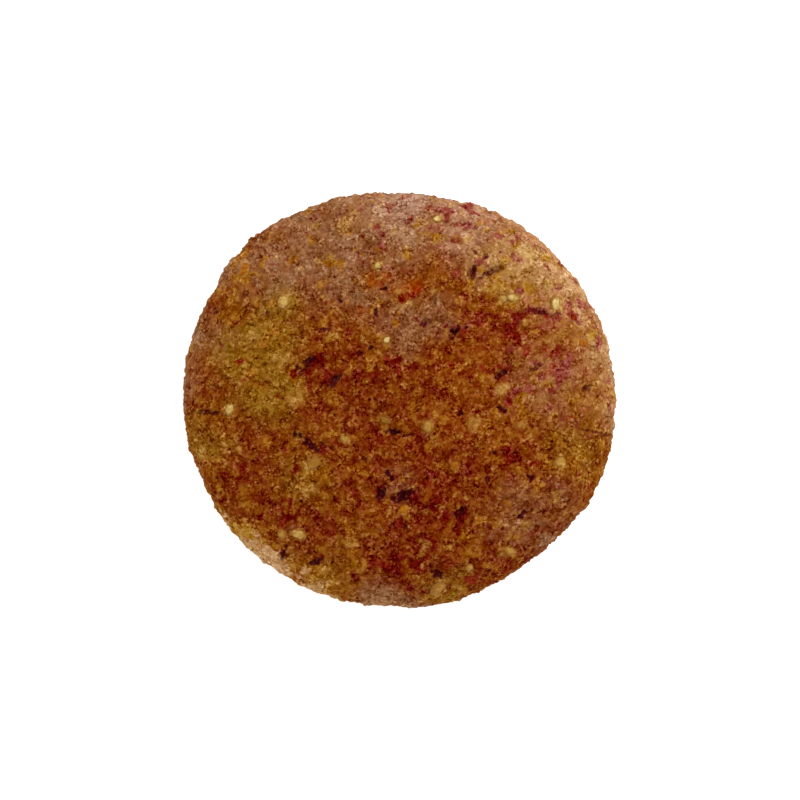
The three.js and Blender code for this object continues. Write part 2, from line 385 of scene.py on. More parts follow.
# Rounds of averaging that relax the net, blend the lumps, and tell how deep a point lies
RELAX_ROUNDS = 5
BLEND_ROUNDS = 3
HOLLOWS = {"hollow_near": 4, "hollow_wide": 36}


# %% Rise of the dough
def dough_rise(tree, size, place, cells):
    """How far the dough rises at each point, in millimetres."""
    # Crags at every size down to the net's own
    scale = add(tree, "ShaderNodeMath", {0: 1.0, 1: size["Crag size (mm)"]}, operation="DIVIDE")
    crags = add(tree, "ShaderNodeTexNoise", {"Vector": place, "Scale": scale, "Detail": 3.0,
                                            "Roughness": 0.64})
    crags = add(tree, "ShaderNodeMath", {0: crags, 1: 0.5}, operation="SUBTRACT")
    rise = add(tree, "ShaderNodeMath", {0: crags, 1: size["Crag height (mm)"]}, operation="MULTIPLY")

    # Crumbs, which stand out more in some parts than in others
    lump = add(tree, "ShaderNodeMath", {0: CRUMB_LEVEL, 1: cells["crumbs"]["Distance"]},
               operation="SUBTRACT")
    lump = add(tree, "ShaderNodeMath", {0: lump, 1: size["Crumb height (mm)"]}, operation="MULTIPLY")
    rough = add(tree, "ShaderNodeTexNoise", {"Vector": place, "Scale": 1 / ROUGH_PATCH, "W": 9.0},
                noise_dimensions="4D")
    rough = add(tree, "ShaderNodeMapRange", {"Value": rough, "From Min": 0.35, "From Max": 0.65,
                                            "To Min": ROUGH_LEAST})
    rise = add(tree, "ShaderNodeMath", {0: lump, 1: rough, 2: rise}, operation="MULTIPLY_ADD")

    # Small specks where a crumb has fallen out, in some of the cells
    hole = add(tree, "ShaderNodeMapRange", {"Value": cells["specks"]["Distance"], "From Min": SPECK_FLOOR,
                                           "From Max": SPECK_EDGE, "To Min": 1.0, "To Max": 0.0},
               interpolation_type="SMOOTHSTEP")
    chance = add(tree, "ShaderNodeSeparateXYZ", {0: cells["specks"]["Color"]})
    fallen = add(tree, "ShaderNodeMath", {0: chance, 1: FALLEN_SHARE}, operation="LESS_THAN")
    hole = add(tree, "ShaderNodeMath", {0: hole, 1: fallen}, operation="MULTIPLY")
    hole = add(tree, "ShaderNodeMath", {0: hole, 1: size["Speck depth (mm)"]}, operation="MULTIPLY")
    rise = add(tree, "ShaderNodeMath", {0: rise, 1: hole}, operation="SUBTRACT")

    # Torn pits go down and filmed nuts come up
    torn = add(tree, "GeometryNodeInputNamedAttribute", {"Name": "torn"}, data_type="FLOAT")
    torn = add(tree, "ShaderNodeMath", {0: torn, 1: size["Pit depth (mm)"]}, operation="MULTIPLY")
    rise = add(tree, "ShaderNodeMath", {0: rise, 1: torn}, operation="SUBTRACT")
    filmed = add(tree, "GeometryNodeInputNamedAttribute", {"Name": "filmed"}, data_type="FLOAT")
    return add(tree, "ShaderNodeMath", {0: filmed, 1: size["Nut rise (mm)"], 2: rise},
               operation="MULTIPLY_ADD")


# %% Grain tree
def grain_tree():
    """The tree that presses grain into the crumb and keeps what the finish reads."""
    tree, size = new_tree("crumb_grain", GRAIN_SIZES)
    place = add(tree, "GeometryNodeInputPosition")
    normal = add(tree, "GeometryNodeInputNormal")
    place_mm = add(tree, "ShaderNodeVectorMath", {0: place, "Scale": 1 / MM}, operation="SCALE")
    cells = {}
    for name, (label, bend_scale, detail, reach) in CELLS.items():
        scale = add(tree, "ShaderNodeMath", {0: 1.0, 1: size[label]}, operation="DIVIDE")
        bend = add(tree, "ShaderNodeTexNoise", {"Vector": place_mm, "Scale": bend_scale, "Detail": detail})
        bend = add(tree, "ShaderNodeVectorMath", {0: bend.outputs["Color"], 1: [reach] * 3, 2: place_mm},
                   operation="MULTIPLY_ADD")
        pattern = add(tree, "ShaderNodeTexVoronoi", {"Vector": bend, "Scale": scale}, feature="F1")
        cells[name] = pattern.outputs

    # Relaxing the net takes the solid's facets out
    level = add(tree, "ShaderNodeSeparateXYZ", {0: place_mm}).outputs["Z"]
    fade = add(tree, "ShaderNodeMapRange", {"Value": level, "From Min": GRAIN_FADE[0],
                                           "From Max": GRAIN_FADE[1]},
               interpolation_type="SMOOTHSTEP")
    relaxed = add(tree, "GeometryNodeBlurAttribute",
                  {"Value": place, "Iterations": RELAX_ROUNDS, "Weight": fade}, data_type="FLOAT_VECTOR")
    smooth = add(tree, "GeometryNodeSetPosition", {"Geometry": size["Geometry"], "Position": relaxed})

    # Everything is rougher round the side, and fades out at the base
    facing = add(tree, "ShaderNodeSeparateXYZ", {0: normal}).outputs["Z"]
    rougher = add(tree, "ShaderNodeMapRange", {"Value": facing, "From Min": SIDE_FACING[0],
                                              "From Max": SIDE_FACING[1], "To Min": 1.0,
                                              "To Max": size["Side roughness"]})
    rise = dough_rise(tree, size, place_mm, cells)
    for share in (rougher, fade, MM):
        rise = add(tree, "ShaderNodeMath", {0: rise, 1: share}, operation="MULTIPLY")
    push = add(tree, "ShaderNodeVectorMath", {0: normal, "Scale": rise}, operation="SCALE")
    shaped = add(tree, "GeometryNodeSetPosition", {"Geometry": smooth, "Offset": push})

    # How far each point lies below the average of its neighbours, close by and further round, which the
    # finish turns into painted shade
    kept = {}
    for label, rounds in HOLLOWS.items():
        average = add(tree, "GeometryNodeBlurAttribute", {"Value": place, "Iterations": rounds},
                      data_type="FLOAT_VECTOR")
        gap = add(tree, "ShaderNodeVectorMath", {0: average, 1: place}, operation="SUBTRACT")
        below = add(tree, "ShaderNodeVectorMath", {0: gap, 1: normal}, operation="DOT_PRODUCT")
        kept[label] = add(tree, "ShaderNodeMath", {0: below.outputs["Value"], 1: 1 / MM},
                          operation="MULTIPLY")

    # Chance draws of the crumbs, and of the larger lumps with their edges blended
    blended = add(tree, "GeometryNodeBlurAttribute",
                  {"Value": cells["lumps"]["Color"], "Iterations": BLEND_ROUNDS}, data_type="FLOAT_VECTOR")
    crumb_draw = add(tree, "ShaderNodeSeparateXYZ", {0: cells["crumbs"]["Color"]}).outputs
    lump_draw = add(tree, "ShaderNodeSeparateXYZ", {0: blended}).outputs
    kept |= {"crumb_tone": crumb_draw["X"], "crumb_hue": crumb_draw["Y"], "lump_warmth": lump_draw["X"],
             "lump_dust": lump_draw["Y"], "lump_red": lump_draw["Z"]}
    for label, value in kept.items():
        shaped = add(tree, "GeometryNodeStoreNamedAttribute",
                     {"Geometry": shaped, "Name": label, "Value": value}, data_type="FLOAT")
    add(tree, "NodeGroupOutput", {"Geometry": shaped})
    return tree


crumb.data = run_tree(crumb, grain_tree(), GRAIN_SIZES)
for label in HOLLOWS:
    depths = [point.value for point in crumb.data.attributes[label].data]
    print(label, "from %.2f to %.2f mm" % (min(depths), max(depths)))

# %% [markdown]
# ## How the crust browned, and where light and shade are painted
# No two parts of the crust met the same heat. Honey and egg left golden patches at the left, the middle
# and the near half went to rust, the far side stayed dusty and mauve, and red lumps show at the right.
# Each point of the crumb gets a share of every kind of browning from a few soft round patches, bent by
# noise. Not all of it is browning: the lit patches are painted light, the dusty patches also carry a
# painted sheen, and the rust patches a little painted shade. The rim is paler in a few bands, which are
# placed by their bearing, partly less browned and partly painted light.

# %% Pale bands of the rim
# Bearings in degrees where the rim is paler, partly less browned and partly painted light, how far each
# band spreads and how strong it is
PALE_LIT_RIM = [(219, 9, 1.2), (230, 10, 1.6), (243, 9, 1.2), (256, 8, 0.5), (10, 30, 0.35)]
# Such a band is gone at this many spreads from its bearing
RIM_REACH = 1.5
# Level in millimetres up to which it reaches, over how much it fades, and the noise that bends its top
RIM_TOP = 11.0
RIM_FADE = 2.2
RIM_BEND = (3, 1.2)

points = net_points(crumb.data)
bearings = np.degrees(np.arctan2(points[:, 1], points[:, 0]))
low = eased((RIM_TOP - bent(points, *RIM_BEND)[:, 2]) / RIM_FADE)
rim = np.zeros(len(points), dtype=np.float32)
for bearing, spread, strength in PALE_LIT_RIM:
    away = np.abs((bearings - bearing + 180) % 360 - 180)
    rim = np.maximum(rim, strength * eased(RIM_REACH - away / spread) * low)
keep(crumb.data, "pale_lit_rim", rim)
print("pale bands cover %.1f%% of the crumb" % (100 * rim.mean()))

# %% Patches of browning
# Each patch has its place and radius in millimetres, and its strength
BROWNING = {
    "golden": [(-29, 11, 10, 1.0), (-25, 19, 6, 0.9), (-27, 2, 9, 1.0), (-40, -8, 6, 0.65),
               (-20, -16, 6, 0.7), (36, -10, 7, 0.6), (-13, -34, 8, 0.35), (10, -39, 6, 0.7),
               (22, 27, 8, 0.3)],
    # Dusty patches are partly a dull greyish crust and partly a painted sheen
    "dust_and_sheen": [(-14, 31, 13, 1.0), (-25, 27, 9, 0.8), (-2, 37, 11, 1.0), (-8, 23, 8, 0.7), (1, 15, 7, 0.8),
              (25, -24, 8, 0.5), (33, -21, 6, 0.4), (-2, -44, 8, 1.0), (13, 42, 8, 0.9), (2, 45, 8, 1.0),
              (-12, 44, 7, 1.0), (-25, 39, 7, 1.0), (-37, 28, 7, 0.9), (-45, 14, 7, 0.9),
              (-47, 3, 6, 0.7), (0, -17, 4, 0.5), (46, 9, 8, 0.6), (47, -2, 6, 0.6), (-37, 13, 4, 0.7),
              (44, 18, 7, 0.4), (7, 16, 6, 0.7), (30, 4, 10, 0.55)],
    # Rust patches are redder crust, and the lower tone they give is partly painted shade
    "rust_and_shade": [(-4, -8, 19, 0.6), (5, -20, 17, 0.9), (-16, 8, 8, 0.8), (19, 13, 10, 0.5),
              (3, -30, 12, 0.8), (30, -31, 10, 0.9), (22, -38, 8, 1.0), (-30, -18, 9, 0.7),
              (-27, -10, 8, 0.5), (-22, -26, 9, 0.8), (16, 1, 8, 0.2)],
    "mauve": [(2, 45, 9, 1.0), (13, 42, 9, 1.0), (14, 35, 8, 0.8), (26, 39, 7, 0.6), (38, 28, 7, 0.6),
              (27, 31, 9, 0.6), (19, 27, 6, 0.5)],
    "rosy": [(29, 8, 11, 0.8), (36, 14, 6, 0.6), (14, 36, 9, 0.45), (8, 28, 6, 0.7), (30, 19, 8, 0.9),
             (26, 3, 7, 0.9), (24, 33, 9, 0.65), (12, 15, 5, 0.8), (36, -3, 6, 0.5)],
    "pale": [(27, 30, 11, 0.9), (36, 23, 9, 0.9), (15, 38, 9, 0.5), (46, -1, 7, 0.4), (45, 9, 8, 0.4),
             (43, 20, 8, 0.4), (36, 31, 9, 0.4), (26, 39, 8, 0.4), (14, 44, 7, 0.6), (-2, -47, 6, 0.6)],
    # Lit patches are painted light: the crumb is drawn paler and more even where light falls
    "painted_light": [(27, 30, 13, 0.8), (36, 23, 11, 0.8), (15, 38, 11, 0.5), (2, 39, 11, 0.6), (42, 12, 9, 0.8),
            (42, 1, 8, 0.6), (22, 39, 6, 0.65), (-5, 42, 6, 0.5), (-15, -46, 7, 0.8), (-40, -12, 5, 0.6),
            (-14, 31, 14, 0.1), (0, 24, 6, 0.3), (33, 6, 12, 0.5), (19, 8, 10, 0.3)],
    "ember": [(-5.2, 24.3, 1.3, 1.1), (3.9, 22.9, 1.4, 1.0), (1.9, -30.5, 1.2, 0.9),
              (2.9, -27.3, 1.2, 0.9), (3.3, -16.3, 1.3, 0.9), (23.3, -3.4, 1.3, 0.9), (14, 0, 12, 0.5),
              (25, 4, 9, 0.55), (4, -12, 9, 0.45), (0, -26, 9, 0.35), (19, 12, 8, 0.5)],
    "scorched": [(-5.0, 24.4, 1.9, 1.0), (-2.8, 25.6, 1.7, 0.8), (3.4, 23.0, 2.4, 1.0),
                 (0.6, 21.6, 2.3, 1.0), (-1.6, 22.4, 1.6, 0.5), (-7.4, 18.6, 1.6, 0.6)],
    "crimson": [(0.6, 21.3, 1.6, 2.4), (2.0, 21.7, 1.3, 2.4), (29, 14, 8, 0.8), (20, 9, 8, 0.7),
                (8, -20, 9, 0.6), (-6, 6, 8, 0.5), (14, 35, 7, 0.2), (-24, -20, 9, 0.2),
                (24, -14, 8, 0.6), (0, -30, 8, 0.5), (-34.5, 8.7, 3, 0.8)],
    "amber": [(20, 23, 6, 1.0), (14, 2, 7, 0.4), (25, -1, 7, 0.6), (-6.7, 18.9, 1.3, 1.2),
              (26, 29, 8, 0.6), (-13, 13, 6, 0.9), (-20, -16, 8, 0.6), (33, -11, 6, 0.8),
              (-12, -34, 8, 0.6), (16, -24, 6, 0.6), (-32, 27, 5, 0.8), (-33, -28, 7, 0.7),
              (-26, 10, 7, 0.5)],
}
# A patch fades out over this share of its radius, and is gone at this many radii
PATCH_FADE = 1.1
PATCH_REACH = 1.35
# Size and reach in millimetres of the noise that makes its edge ragged, and of that which makes it drift
RAGGED_BEND = (1.6, 1.1)
DRIFT_BEND = (7, 3.5)
# A patch drifts in full from this radius up, and a smaller one less, so that it keeps its place
DRIFT_FROM = 8

ragged = bent(points, *RAGGED_BEND)
drift = bent(points, *DRIFT_BEND) - points
for label, places in BROWNING.items():
    most = np.zeros(len(points), dtype=np.float32)
    for x, y, radius, strength in places:
        drifted = ragged + drift * min(1, radius / DRIFT_FROM)
        gap = np.hypot(drifted[:, 0] - x, drifted[:, 1] - y)
        most = np.maximum(most, strength * eased((PATCH_REACH - gap / radius) / PATCH_FADE))
    keep(crumb.data, label, most)
    print("%s browning covers %.0f%% of the crumb" % (label, 100 * most.mean()))

# %% [markdown]
# ## The crumb's finish
# Baked nut dough is matt, and its colour is a mix at every scale. Each kind of browning is a ramp from
# the maroon of a gap to the tan of a crumb that stands proud. A tone, made from noise at real sizes and
# from the hollows as painted shade, picks the place on the ramps. Rust and ochre are the ground, and every
# other browning is a veil over it, open in its patches and in the lumps that drew it. The finest grain
# only makes the dough lighter and darker, because it is painted light and shade of tiny crumbs and not
# another colour.

# %% Small crumbs
# Size of the small crumbs of ground nut in millimetres, and the size and reach of the noise on them
FINE_CRUMB = 0.95
FINE_BEND = (0.9, 1.2)
# Painted shade in the gaps between them: how dark, how wide in cells, and the size in millimetres of
# the parts where they open
GAP_SHADE = 0.12
GAP_WIDTH = 0.2
GAP_PATCH = 2.5


def small_crumbs(tree, place):
    """Chance draws of the small crumbs, sharp and blended, and painted shade in the gaps that open between
    them.
    """
    size, reach = FINE_BEND
    bend = add(tree, "ShaderNodeTexNoise", {"Vector": place, "Scale": 1 / size, "Detail": 2.0})
    bend = add(tree, "ShaderNodeVectorMath", {0: bend.outputs["Color"], 1: [reach] * 3, 2: place},
               operation="MULTIPLY_ADD")
    cells = {"Vector": bend, "Scale": 1 / FINE_CRUMB}
    sharp = add(tree, "ShaderNodeTexVoronoi", cells).outputs["Color"]
    sharp = add(tree, "ShaderNodeSeparateXYZ", {0: sharp}).outputs
    blended = add(tree, "ShaderNodeTexVoronoi", cells | {"Smoothness": 0.5}, feature="SMOOTH_F1")
    blended = add(tree, "ShaderNodeSeparateXYZ", {0: blended.outputs["Color"]}).outputs
    gaps = add(tree, "ShaderNodeTexVoronoi", cells, feature="DISTANCE_TO_EDGE")
    gaps = add(tree, "ShaderNodeMapRange", {"Value": gaps, "From Max": GAP_WIDTH, "To Min": GAP_SHADE,
                                           "To Max": 0.0})
    opened = add(tree, "ShaderNodeTexNoise", {"Vector": place, "Scale": 1 / GAP_PATCH, "Detail": 2.0})
    opened = add(tree, "ShaderNodeMapRange", {"Value": opened, "From Min": 0.48, "From Max": 0.62})
    gaps = add(tree, "ShaderNodeMath", {0: gaps, 1: opened}, operation="MULTIPLY")
    return sharp, blended, gaps


# %% Tone of the dough
# Tone of dough that nothing lifts or lowers
TONE_MIDDLE = 0.52
# Noise that makes the tone: size in millimetres, share of the tone, detail
MARBLING = [(7.0, 0.15, 2.0), (2.0, 0.2, 2.0), (0.7, 0.15, 1.0)]
# Spread of the tones of the small crumbs
FINE_SPREAD = 0.12
# What lifts or lowers the tone: the hollows paint shade into what lies deep and light onto what stands
# proud, the rust patches lower it partly as painted shade, and the pale rim bands lift it partly as
# painted light
LIFTS = {"filmed": 0.06, "pit_surround": -0.05, "rust_and_shade": -0.06, "pale_lit_rim": 0.13, "side": 0.05,
         "crumb_tone": 0.17, "hollow_near": -0.65, "hollow_wide": -0.1}
# Lit patches are painted light: they are drawn towards this pale tone, by this share, which also makes
# them more even
LIT_TONE = 0.97
LIT_SHARE = 0.58


def pulled(tree, value, shares, pulls):
    """A value to which each named share adds as much as its pull says."""
    for label, pull in pulls.items():
        value = add(tree, "ShaderNodeMath", {0: shares[label], 1: pull, 2: value},
                    operation="MULTIPLY_ADD")
    return value


def dough_tone(tree, place, shares):
    """The dough's tone: real-size marbling, then painted light where proud and painted shade where deep.
    """
    spreads = sum(share for _, share, _ in MARBLING) + LIFTS["crumb_tone"] + FINE_SPREAD
    tone = TONE_MIDDLE - spreads / 2
    for size, share, detail in MARBLING:
        marbling = add(tree, "ShaderNodeTexNoise", {"Vector": place, "Scale": 1 / size, "Detail": detail,
                                                   "Roughness": 0.6, "W": size}, noise_dimensions="4D")
        tone = add(tree, "ShaderNodeMath", {0: marbling, 1: share, 2: tone}, operation="MULTIPLY_ADD")
    tone = pulled(tree, tone, shares, {"fine_draw": FINE_SPREAD} | LIFTS)
    # Painted light: the lit patches are drawn towards the pale tone
    drawn_up = add(tree, "ShaderNodeMath", {0: shares["painted_light"], 1: LIT_SHARE}, operation="MULTIPLY")
    return add(tree, "ShaderNodeMix", {0: drawn_up, 2: tone, 3: LIT_TONE}).outputs[0]


# %% Ramps and veils
# Every ramp has a colour at each of these tones, from the bottom of a gap to a crumb that stands proud
TONES = (0.0, 0.2, 0.35, 0.5, 0.65, 0.8, 1.0)
RAMPS = {
    "rust": "#3a0200 #4c0500 #641602 #772d07 #884311 #9b5822 #bc8450",
    "ochre": "#480a00 #5c1601 #712d02 #84440a #945714 #a7702c #c89a5e",
    "golden": "#481606 #5d2f08 #73460c #865b12 #976e1f #a98435 #c6a968",
    "dust_and_sheen": "#4e200c #663418 #784628 #885837 #986a47 #aa7e5a #c8a284",
    "rosy": "#420608 #560c0c #6a1810 #7e2616 #903a22 #a25638 #be8664",
    "mauve": "#4e2018 #683a2c #7e5040 #926654 #a47a66 #b6907a #d0b09c",
    "pale": "#763520 #924f30 #a2643c #b0784a #bc8a5a #c89c6c #d6b48a",
    "crimson": "#2e0000 #420002 #560702 #6a1205 #7e2209 #923a14 #ac6236",
    "plum": "#3a080c #4c0e10 #5e1816 #72281e #883c2e #9c5644 #ba826a",
    "ember": "#420000 #5a0400 #721000 #882200 #983804 #a6500e #ba742e",
    "scorched": "#420000 #5c0a00 #762002 #8a3604 #9a4c0c #a8621a #bc843a",
    "amber": "#5a1800 #702c02 #84420a #965a14 #a46e22 #b28436 #cca664",
    "nut": "#562404 #764010 #8a541a #9c6828 #ac7c38 #bb904c #d0ae76",
}
# Noise that picks rust or ochre, by its size in millimetres, its spread and its shift, and what else does
HUE_SIZE = 2.2
HUE_SPREAD = 4.2
HUE_SHIFT = -1.25
HUE_PULLS = {"filmed": 0.6, "rust_and_shade": -0.5, "crumb_hue": 0.6, "lump_red": -1.6, "first_draw": 0.5}
# Veils of another browning: size of its mottles, how much shows anywhere, how strongly its patches tint
# all that lies in them, and what opens or shuts it crumb by crumb, which are draws and patches
VEILS = {
    "dust_and_sheen": (4.0, -0.9, 0.85, {"lump_dust": 2.0, "second_draw": 0.4}, {"dust_and_sheen": 1.4, "side": 0.6}),
    "mauve": (2.6, -1.6, 0.7, {"lump_dust": 1.6}, {"mauve": 1.4}),
    "rosy": (2.4, -1.0, 0.1, {"lump_red": 2.4, "first_draw": -0.4}, {"rosy": 1.0}),
    "pale": (3.0, -1.1, 0.6, {"lump_dust": 1.4, "second_draw": 0.5}, {"pale": 1.4, "pale_lit_rim": 1.3}),
    "golden": (2.6, -1.7, 0.8, {"lump_warmth": 2.0, "first_draw": 0.5}, {"golden": 2.2}),
    "amber": (2.0, -0.45, 0.15, {"lump_dust": -2.2, "first_draw": 0.6}, {"amber": 0.9, "pale_lit_rim": 0.2}),
    # In the torn pits the plum veil is partly painted shade
    "plum": (2.4, -0.95, 0.0, {"lump_warmth": -2.2, "first_draw": -0.5},
             {"rosy": 1.0, "dust_and_sheen": 0.4, "painted_light": 0.6, "torn": 3.0}),
    "scorched": (1.2, -1.2, 0.9, {"first_draw": 0.4}, {"scorched": 1.4}),
    "ember": (1.2, -1.6, 0.2, {"lump_red": 0.8}, {"ember": 2.2}),
    "crimson": (2.6, -0.45, 0.1, {"lump_warmth": -1.9, "second_draw": -0.5},
                {"crimson": 0.9, "pit_surround": 0.3, "rust_and_shade": 0.3, "painted_light": -0.4, "dust_and_sheen": -0.5,
                 "pale_lit_rim": -1.0}),
}
# Spread of the noise of a veil
VEIL_SPREAD = 2.6
# Draws past which a crumb is bare nut, and how strongly nut shows
BARE_NUT = (0.91, 0.96)
NUT_SHARE = 0.6
print(len(RAMPS), "ramps and", len(VEILS), "veils")


# %% Colour of the dough
def dough_colour(tree, place, shares, tone):
    """The colour of the dough: rust or ochre, then the veils, and then what is nut."""
    ramps = {label: add(tree, "ShaderNodeValToRGB", {0: tone}, zip(TONES, colours.split())).outputs[0]
             for label, colours in RAMPS.items()}
    hue = add(tree, "ShaderNodeTexNoise", {"Vector": place, "Scale": 1 / HUE_SIZE, "Detail": 3.0,
                                          "Roughness": 0.6, "W": 31.0}, noise_dimensions="4D")
    hue = add(tree, "ShaderNodeMath", {0: hue, 1: HUE_SPREAD, 2: HUE_SHIFT}, operation="MULTIPLY_ADD")
    hue = add(tree, "ShaderNodeClamp", {0: pulled(tree, hue, shares, HUE_PULLS)})
    colour = add(tree, "ShaderNodeMix", {0: hue, 6: ramps["rust"], 7: ramps["ochre"]},
                 data_type="RGBA").outputs[2]

    # Each veil shows where its own noise, its draws and its patches let it through
    for number, (label, (size, shift, wash, drawn, patches)) in enumerate(VEILS.items()):
        veil = add(tree, "ShaderNodeTexNoise", {"Vector": place, "Scale": 1 / size, "Detail": 2.0,
                                               "Roughness": 0.55, "W": 50.0 + number},
                   noise_dimensions="4D")
        shift -= (VEIL_SPREAD + sum(drawn.values())) / 2
        veil = add(tree, "ShaderNodeMath", {0: veil, 1: VEIL_SPREAD, 2: shift}, operation="MULTIPLY_ADD")
        veil = add(tree, "ShaderNodeMapRange", {"Value": pulled(tree, veil, shares, drawn | patches),
                                               "From Min": 0.2, "From Max": 0.8},
                   interpolation_type="SMOOTHSTEP")
        if label in BROWNING:
            washed = add(tree, "ShaderNodeMath", {0: shares[label], 1: wash}, operation="MULTIPLY")
            veil = add(tree, "ShaderNodeMath", {0: veil, 1: washed}, operation="MAXIMUM")
        colour = add(tree, "ShaderNodeMix", {0: veil, 6: colour, 7: ramps[label]},
                     data_type="RGBA").outputs[2]

    # Nuts under a film of dough, and the few crumbs that are bare nut
    nutty = add(tree, "ShaderNodeMapRange", {"Value": shares["crumb_hue"], "From Min": BARE_NUT[0],
                                            "From Max": BARE_NUT[1]})
    nutty = add(tree, "ShaderNodeMath", {0: nutty, 1: shares["filmed"]}, operation="MAXIMUM")
    nutty = add(tree, "ShaderNodeMath", {0: nutty, 1: NUT_SHARE}, operation="MULTIPLY")
    return add(tree, "ShaderNodeMix", {0: nutty, 6: colour, 7: ramps["nut"]}, data_type="RGBA").outputs[2]


# %% Grit
# Size of the finest grit in millimetres, and how far its painted light and shade go from dark to light,
# as a share of white
GRIT_SIZE = 0.6
GRIT_SPREAD = 0.52
# Size in millimetres of the parts where the grit is finer or coarser, and how weak and strong it gets
GRIT_PATCH = 1.6
GRIT_RANGE = (0.1, 1.75)
# How far the painted shade of the small crumbs goes from dark to light
FINE_SHADE = 0.06
# Power between light and what the eye sees of it
EYE_GAMMA = 2.2


def grit_lit_and_shaded(tree, place, colour, draw, gaps):
    """A colour with the grit's painted light and shade, alike in every hue as the eye sees it, and the
    grit.
    """
    grit = add(tree, "ShaderNodeTexNoise", {"Vector": place, "Scale": 1 / GRIT_SIZE, "Detail": 1.0,
                                           "Roughness": 0.9})
    coarse = add(tree, "ShaderNodeTexNoise", {"Vector": place, "Scale": 1 / GRIT_PATCH, "Detail": 3.0,
                                             "W": 70.0}, noise_dimensions="4D")
    coarse = add(tree, "ShaderNodeMapRange", {"Value": coarse, "From Min": 0.38, "From Max": 0.62,
                                             "To Min": GRIT_RANGE[0], "To Max": GRIT_RANGE[1]})
    # Painted light and shade: proud grains lighter, small crumbs lighter or darker, the gaps darker
    shift = add(tree, "ShaderNodeMath", {0: grit, 1: 0.5}, operation="SUBTRACT")
    shift = add(tree, "ShaderNodeMath", {0: shift, 1: GRIT_SPREAD}, operation="MULTIPLY")
    shift = add(tree, "ShaderNodeMath", {0: shift, 1: coarse, 2: -FINE_SHADE / 2},
                operation="MULTIPLY_ADD")
    shift = add(tree, "ShaderNodeMath", {0: draw, 1: FINE_SHADE, 2: shift}, operation="MULTIPLY_ADD")
    shift = add(tree, "ShaderNodeMath", {0: shift, 1: gaps}, operation="SUBTRACT")
    seen = add(tree, "ShaderNodeGamma", {"Color": colour, "Gamma": 1 / EYE_GAMMA})
    seen = add(tree, "ShaderNodeVectorMath", {0: seen, 1: shift}, operation="ADD")
    seen = add(tree, "ShaderNodeVectorMath", {0: seen, 1: [0, 0, 0]}, operation="MAXIMUM")
    return add(tree, "ShaderNodeGamma", {"Color": seen, "Gamma": EYE_GAMMA}).outputs[0], grit


# %% Crumb material
# Maroon inside a torn pit: partly the moist crumb and partly painted shade
PIT_MAROON_AND_SHADE = "#380a0e"
# How far torn a pit is when its colour is full, and how full that is
PIT_TORN = 0.55
PIT_SHARE = 0.65


def crumb_material():
    # Baked nut dough: a dry matt crumb, marbled, with no gloss but real depth of colour
    material, tree, place = new_material("baked_nut_dough")
    labels = [*BROWNING, *LIFTS, "torn", "crumb_hue", "lump_warmth", "lump_dust", "lump_red"]
    shares = {label: add(tree, "ShaderNodeAttribute", attribute_name=label).outputs["Fac"]
              for label in dict.fromkeys(labels)}
    sharp, blended, gaps = small_crumbs(tree, place)
    shares |= {"fine_draw": sharp["X"], "first_draw": blended["Y"], "second_draw": blended["Z"]}
    colour = dough_colour(tree, place, shares, dough_tone(tree, place, shares))
    colour, grit = grit_lit_and_shaded(tree, place, colour, shares["fine_draw"], gaps)

    # Torn pits are painted maroon inside: partly the moist crumb and partly painted shade
    deep = add(tree, "ShaderNodeMapRange", {"Value": shares["torn"], "From Max": PIT_TORN,
                                           "To Max": PIT_SHARE})
    colour = add(tree, "ShaderNodeMix", {0: deep, 6: colour, 7: linear(PIT_MAROON_AND_SHADE)},
                 data_type="RGBA").outputs[2]
    set_surface(tree, colour, roughness=0.8, gloss=0.01, grain=grit, depth=0.15, strength=0.8)
    return material


# %% Underside material
# Sizes in millimetres of the browned patches and the pores, and the radii between which the edge darkens
UNDERSIDE_PATCH = 9.0
UNDERSIDE_PORE = 1.5
UNDERSIDE_EDGE = (34.0, 44.0)
# How much darker the edge and the pores are
EDGE_TONE = -0.12
PORE_TONE = -0.1


def underside_material():
    # Dough baked flat on a tray: browned in patches, darker at the edge, with fine pores and a faint sheen
    material, tree, place = new_material("baked_underside")
    tone = add(tree, "ShaderNodeTexNoise", {"Vector": place, "Scale": 1 / UNDERSIDE_PATCH, "Detail": 6.0,
                                           "Roughness": 0.65})
    out = add(tree, "ShaderNodeVectorMath", {0: place}, operation="LENGTH").outputs["Value"]
    edge = add(tree, "ShaderNodeMapRange", {"Value": out, "From Min": UNDERSIDE_EDGE[0],
                                           "From Max": UNDERSIDE_EDGE[1], "To Max": EDGE_TONE})
    pores = add(tree, "ShaderNodeTexVoronoi", {"Vector": place, "Scale": 1 / UNDERSIDE_PORE})
    pores = add(tree, "ShaderNodeMapRange", {"Value": pores, "From Min": 0.1, "From Max": 0.35,
                                            "To Min": PORE_TONE, "To Max": 0.0})
    for darker in (edge, pores):
        tone = add(tree, "ShaderNodeMath", {0: tone, 1: darker}, operation="ADD")
    browned = add(tree, "ShaderNodeValToRGB", {0: tone}, [(0.25, "#4e240c"), (0.42, "#743e16"),
                                                         (0.58, "#925a28"), (0.75, "#ac7840")])
    set_surface(tree, browned.outputs[0], roughness=0.7, gloss=0.2, grain=pores, depth=0.4, strength=0.8)
    return material


# %% Dress the crumb
crumb.data.materials.append(crumb_material())
crumb.data.materials.append(underside_material())
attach(crumb, "root")
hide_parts("lebkuchen")
finishes = [face.material_index for face in crumb.data.polygons]
for number, material in enumerate(crumb.data.materials):
    print(material.name, "is on", finishes.count(number), "faces")

# %% [markdown]
# ## Chopped nuts, seeds and diced peel
# A few pieces of blanched nut and some seeds stand clear of the dough, and so do a few dice of candied
# peel. Each is a rounded lump with a few flat cuts, as a knife leaves it, and it is seated where a line
# from above meets the crumb, leaning with the dough round it. In the oven the dough crept up the sides of
# the nuts, so each point keeps how near the middle of the piece it lies, for a colour that fades out to
# that of the dough. Each piece also keeps a number of its own, which for a nut is how pale it is.

